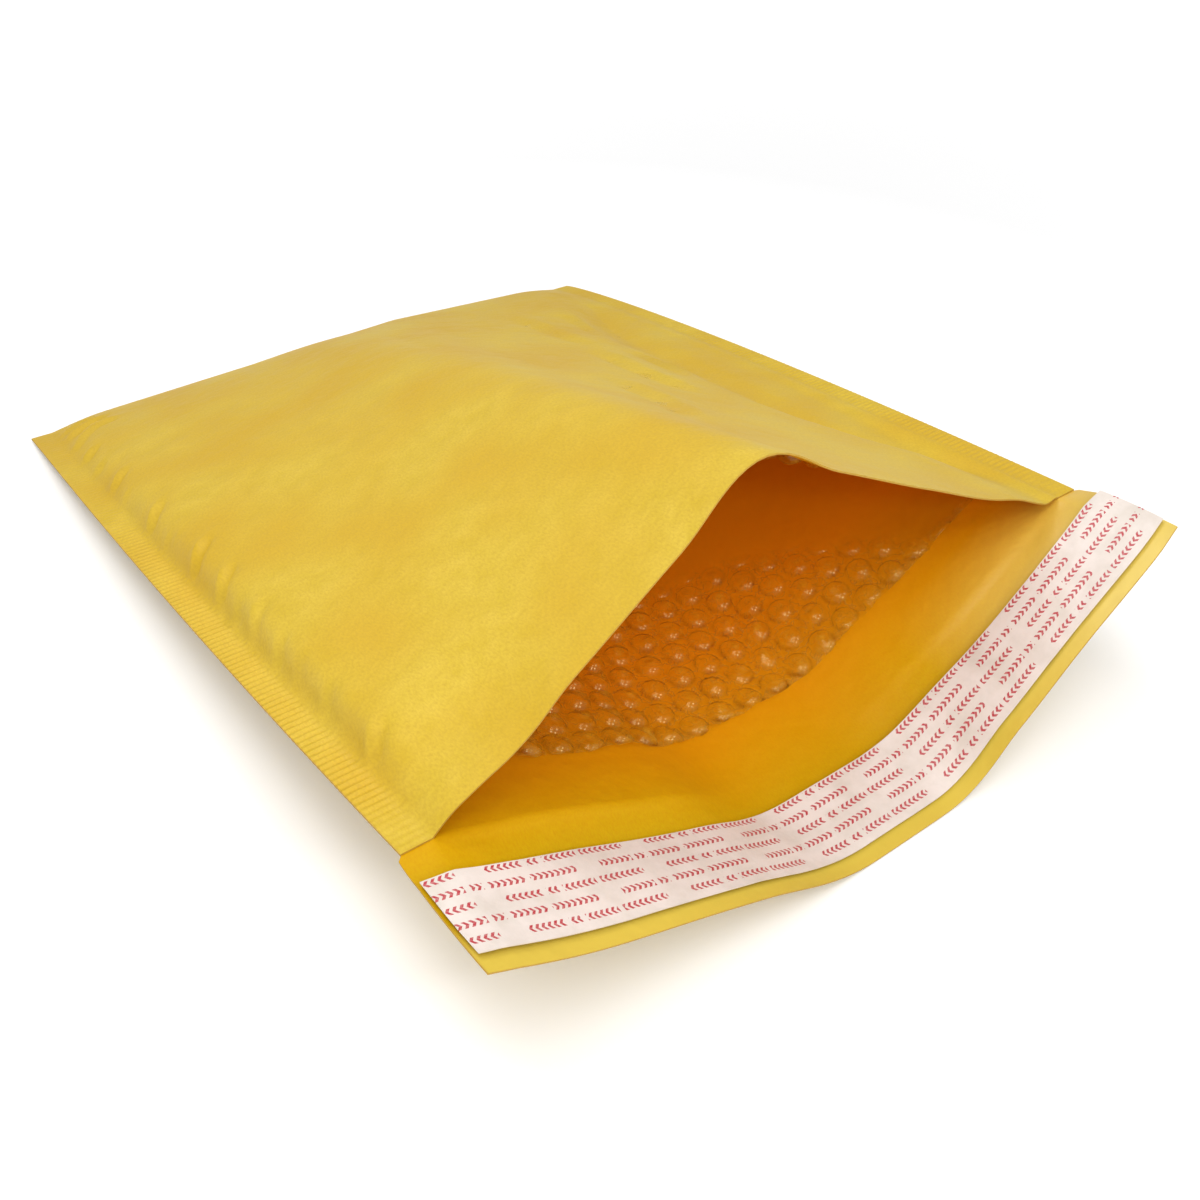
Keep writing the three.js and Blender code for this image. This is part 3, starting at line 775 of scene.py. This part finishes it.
def bubble_cell():
    """One honeycomb cell: a dome above and a flat face below."""
    bm = bmesh.new()
    ring = bmesh.ops.create_circle(bm, segments=12, radius=1.0, cap_ends=False)["verts"]
    for vertex in ring:
        sector = round(math.degrees(math.atan2(vertex.co.y, vertex.co.x)) / 30) % 2
        vertex.co *= BUBBLE_CORNER if sector else BUBBLE_PITCH / 2
    below = bmesh.ops.duplicate(bm, geom=bm.verts[:] + bm.edges[:])["geom"]
    move_points(bm, below, (0, 0, -FILM))
    bmesh.ops.contextual_create(bm, geom=[g for g in below if isinstance(g, bmesh.types.BMEdge)])
    edges = list({edge for vertex in ring for edge in vertex.link_edges})
    for share, height in DOME_RINGS:
        made = bmesh.ops.extrude_edge_only(bm, edges=edges)["geom"]
        edges = [g for g in made if isinstance(g, bmesh.types.BMEdge)]
        for vertex in (g for g in made if isinstance(g, bmesh.types.BMVert)):
            flat = Vector((vertex.co.x, vertex.co.y, 0)).normalized() * share * BUBBLE_RADIUS
            vertex.co = (flat.x, flat.y, height * BUBBLE_HEIGHT)
    top = bmesh.ops.extrude_edge_only(bm, edges=edges)["geom"]
    crown = [g for g in top if isinstance(g, bmesh.types.BMVert)]
    bmesh.ops.pointmerge(bm, verts=crown, merge_co=(0, 0, BUBBLE_HEIGHT))
    return bm


def move_points(bm, made, step):
    """Moves the points among an operator's new geometry."""
    bmesh.ops.translate(bm, verts=[g for g in made if isinstance(g, bmesh.types.BMVert)], vec=step)


def copies(bm, count, step):
    """Repeats everything in the mesh at even steps."""
    first = bm.verts[:] + bm.edges[:] + bm.faces[:]
    for k in range(1, count):
        made = bmesh.ops.duplicate(bm, geom=first)["geom"]
        move_points(bm, made, step * k)


def make_lining():
    """The bubble film, folded like the paper and set back from the mouth."""
    bm = bubble_cell()
    across = int((BAG_WIDTH - 2 * (SEAL_WIDTH + LINING_INSET)) / BUBBLE_PITCH - 0.5)
    pairs = math.ceil((BODY_LENGTH - LINING_SETBACK - BUBBLE_CORNER) / BUBBLE_ROW + 0.5)
    copies(bm, across, Vector((BUBBLE_PITCH, 0, 0)))
    first = bm.verts[:] + bm.edges[:] + bm.faces[:]
    shifted = bmesh.ops.duplicate(bm, geom=first)["geom"]
    move_points(bm, shifted, (BUBBLE_PITCH / 2, BUBBLE_ROW, 0))
    copies(bm, pairs, Vector((0, 2 * BUBBLE_ROW, 0)))
    bmesh.ops.remove_doubles(bm, verts=bm.verts[:], dist=0.02)
    rim = [edge for edge in bm.edges if edge.is_boundary and edge.verts[0].co.z > -FILM / 2]
    skirt = bmesh.ops.extrude_edge_only(bm, edges=rim)["geom"]
    move_points(bm, skirt, (0, 0, -FILM))
    bmesh.ops.remove_doubles(bm, verts=bm.verts[:], dist=0.02)
    bmesh.ops.recalc_face_normals(bm, faces=bm.faces[:])
    bm.verts.index_update()
    flat = get_points(bm)
    mark_centres(bm, flat)
    left = (BAG_WIDTH - (across + 0.5) * BUBBLE_PITCH) / 2 + BUBBLE_PITCH / 2
    flat[:, 0] += left
    flat[:, 1] -= (2 * pairs - 1) * BUBBLE_ROW / 2
    last_row = (2 * pairs - 1) * BUBBLE_ROW / 2
    hem = np.abs(flat[:, 1]) > last_row + BUBBLE_CORNER / 2 - 0.1
    ragged = soft_noise(flat[:, 0], flat[:, 1] * 0, 7.0, 4.4, 3)
    flat[hem, 1] = np.sign(flat[hem, 1]) * (last_row + HEM + 0.9 * ragged[hem])
    flat[:, 1] *= (BODY_LENGTH - LINING_SETBACK) / (last_row + HEM)
    flat_uv(bm, flat)
    share, run = flat[:, 0] / BAG_WIDTH, flat[:, 1]
    along = along_of(run)
    room = read_table(FRONT_TABLE, share, along)[:, 2] - read_table(BACK_TABLE, share, along)[:, 2]
    height = flat[:, 2] + FILM
    squeeze = np.clip((room * 0.4 - 0.6) / BUBBLE_HEIGHT, 0.02, 1)
    full = fullness(flat)
    layer = bm.verts.layers.float.new("fullness")
    for vertex, value in zip(bm.verts, full):
        vertex[layer] = value
    air = squeeze * dome_size(flat) * (0.06 + 0.94 * full)
    domed = np.where(height > FILM + 0.01, FILM + (height - FILM) * air, height)
    from_hem = BODY_LENGTH - LINING_SETBACK - np.abs(run)
    uneven = 0.5 + soft_noise(flat[:, 0], flat[:, 1], 9.0, 7.7, 2)
    curl = HEM_CURL * (1 - smooth(from_hem / 6)) * uneven * (run > 0)
    set_points(bm, place(share, run, -CONTACT_GAP - domed - np.maximum(curl, 0)))
    return finish_piece(bm, "bubble_film_lining", [clear_film()], ["bubble_lining"])


def mark_centres(bm, flat):
    """How far each point lies from the centre of its cell, as a share of the cell's corner radius."""
    row = np.round(flat[:, 1] / BUBBLE_ROW)
    across = flat[:, 0] - np.where(row % 2 > 0.5, BUBBLE_PITCH / 2, 0)
    off_x = across - np.round(across / BUBBLE_PITCH) * BUBBLE_PITCH
    reach = np.hypot(off_x, flat[:, 1] - row * BUBBLE_ROW) / BUBBLE_CORNER
    layer = bm.verts.layers.float.new("from_centre")
    for vertex, value in zip(bm.verts, reach):
        vertex[layer] = value


def fullness(flat):
    """How far the bubbles stand up: they are pressed flat deep in the pocket of the back panel."""
    across, along = np.array(FULL_FROM, float).T
    return np.where(flat[:, 1] > 0, smooth((flat[:, 1] - np.interp(flat[:, 0], across, along)) / 16), 1.0)


def dome_size(flat):
    """A little less or more air in each bubble."""
    row = np.round((flat[:, 1]) / BUBBLE_ROW)
    mixed = np.sin(row * 12.9898 + np.round(flat[:, 0] / BUBBLE_PITCH) * 78.233) * 43758.5453
    return 0.6 + 0.42 * (mixed - np.floor(mixed))


def make_flap_strip(name, start, end, inset, lift, thickness, step, material, node, wave):
    """A strip that lies on the flap's inner face."""
    columns = spaced([(inset, 0), (BAG_WIDTH - inset, step)])
    rows = spaced([(BODY_LENGTH + start, 0), (BODY_LENGTH + end, step)])
    bm = slab(columns, rows)
    thicken(bm)
    flat = get_points(bm)
    flat_uv(bm, flat)
    cockle = wave * (1 + soft_noise(flat[:, 0], flat[:, 1], 14.0, 5.5, 3))
    out = -(lift + cockle + flat[:, 2] * thickness)
    set_points(bm, place(flat[:, 0] / BAG_WIDTH, flat[:, 1], out))
    bmesh.ops.recalc_face_normals(bm, faces=bm.faces[:])
    return finish_piece(bm, name, [material], [node])


# Pale floor: it brightens far from the bag, so that the top of the picture stays pale. Metres.
FLOOR_SIZE = 6.0
FLOOR_DROP = 0.0004
FLOOR_TONE = 0.92
GLOW_FROM, GLOW_OVER, FAR_GLOW = 0.45, 0.7, 0.5


def make_floor():
    bm = bmesh.new()
    bmesh.ops.create_grid(bm, x_segments=2, y_segments=2, size=FLOOR_SIZE)
    mesh = bpy.data.meshes.new("floor")
    bm.to_mesh(mesh)
    bm.free()
    look = Look("pale_floor")
    east, north, _ = look.split(look.place)
    away = ((east * east + north * north).math("SQRT") - GLOW_FROM) / GLOW_OVER
    far_glow = look.mix(look.ramp(away, [(0.0, 0), (1.0, 1)]), BLACK, WHITE)
    look.set(Base_Color=(FLOOR_TONE, FLOOR_TONE, FLOOR_TONE, 1), Roughness=0.9,
             Emission_Color=far_glow, Emission_Strength=FAR_GLOW)
    look.material.cycles.emission_sampling = "NONE"
    mesh.materials.append(look.material)
    floor = bpy.data.objects.new("floor", mesh)
    bpy.context.scene.collection.objects.link(floor)
    floor.location.z = -FLOOR_DROP


# Studio lights: place, aim, side of the square panel in metres, and power in watts
LIGHTS = {"soft_overhead": ((-0.28, -0.38, 0.95), (0, -0.12, 0), 0.8, 6.8),
          "soft_behind": ((-0.12, 0.43, 0.96), (0.05, -0.1, 0), 0.5, 3.0),
          "mouth_glint_left": ((-0.45, -1.1, 0.9), (0, -0.1, 0), 0.12, 1.8),
          "mouth_glint_middle": ((0.05, -1.2, 0.6), (0, -0.1, 0), 0.12, 1.8),
          "mouth_glint_right": ((0.5, -1.0, 0.9), (0, -0.1, 0), 0.12, 1.8)}
SKY_STRENGTH = 0.54


def make_light(name, where, towards, size, power):
    lamp = bpy.data.lights.new(name, "AREA")
    lamp.shape, lamp.size, lamp.size_y = "RECTANGLE", size, size
    lamp.energy = power
    made = bpy.data.objects.new(name, lamp)
    made.location = where
    made.rotation_mode = "QUATERNION"
    made.rotation_quaternion = (Vector(towards) - Vector(where)).to_track_quat("-Z", "Y")
    bpy.context.scene.collection.objects.link(made)


def make_studio():
    world = bpy.data.worlds.new("pale_studio")
    world.use_nodes = True
    background = world.node_tree.nodes["Background"]
    background.inputs["Color"].default_value = WHITE
    background.inputs["Strength"].default_value = SKY_STRENGTH
    bpy.context.scene.world = world
    bpy.context.scene.view_settings.view_transform = "Standard"
    for name, settings in LIGHTS.items():
        make_light(name, *settings)


def make_camera():
    back = Vector((math.sin(CAMERA_AZIMUTH) * math.cos(CAMERA_ELEVATION),
                   -math.cos(CAMERA_AZIMUTH) * math.cos(CAMERA_ELEVATION), math.sin(CAMERA_ELEVATION)))
    right = (-back).cross(Vector((0, 0, 1))).normalized()
    up = right.cross(-back)
    x_axis = right * math.cos(CAMERA_ROLL) + up * math.sin(CAMERA_ROLL)
    y_axis = up * math.cos(CAMERA_ROLL) - right * math.sin(CAMERA_ROLL)
    lens = bpy.data.cameras.new("camera")
    lens.lens, lens.sensor_width, lens.sensor_fit = LENS, SENSOR, "AUTO"
    lens.clip_start = 0.01
    camera = bpy.data.objects.new("camera", lens)
    turn = Matrix((x_axis, y_axis, back)).transposed().to_4x4()
    target = Vector((CAMERA_TARGET_X, FOLD_LINE * MM - CAMERA_TARGET_FROM_FOLD, 0))
    camera.matrix_world = Matrix.Translation(target + back * CAMERA_DISTANCE) @ turn
    bpy.context.scene.collection.objects.link(camera)
    bpy.context.scene.camera = camera


make_camera()
make_studio()
make_floor()
make_envelope()
make_lining()
make_flap_strip("release_liner_strip", LINER_FROM_MOUTH, FLAP_LENGTH - LINER_TO_EDGE, 0.4, 1.05, 0.3, 1.5,
                liner_paper(), "release_liner", 0.18)
make_flap_strip("adhesive_band", LINER_FROM_MOUTH + STRIP_INSET, FLAP_LENGTH - LINER_TO_EDGE - STRIP_INSET,
                STRIP_INSET, CONTACT_GAP, 0.4, 2.5, adhesive(), "adhesive_strip", 0.02)
bpy.context.view_layer.update()
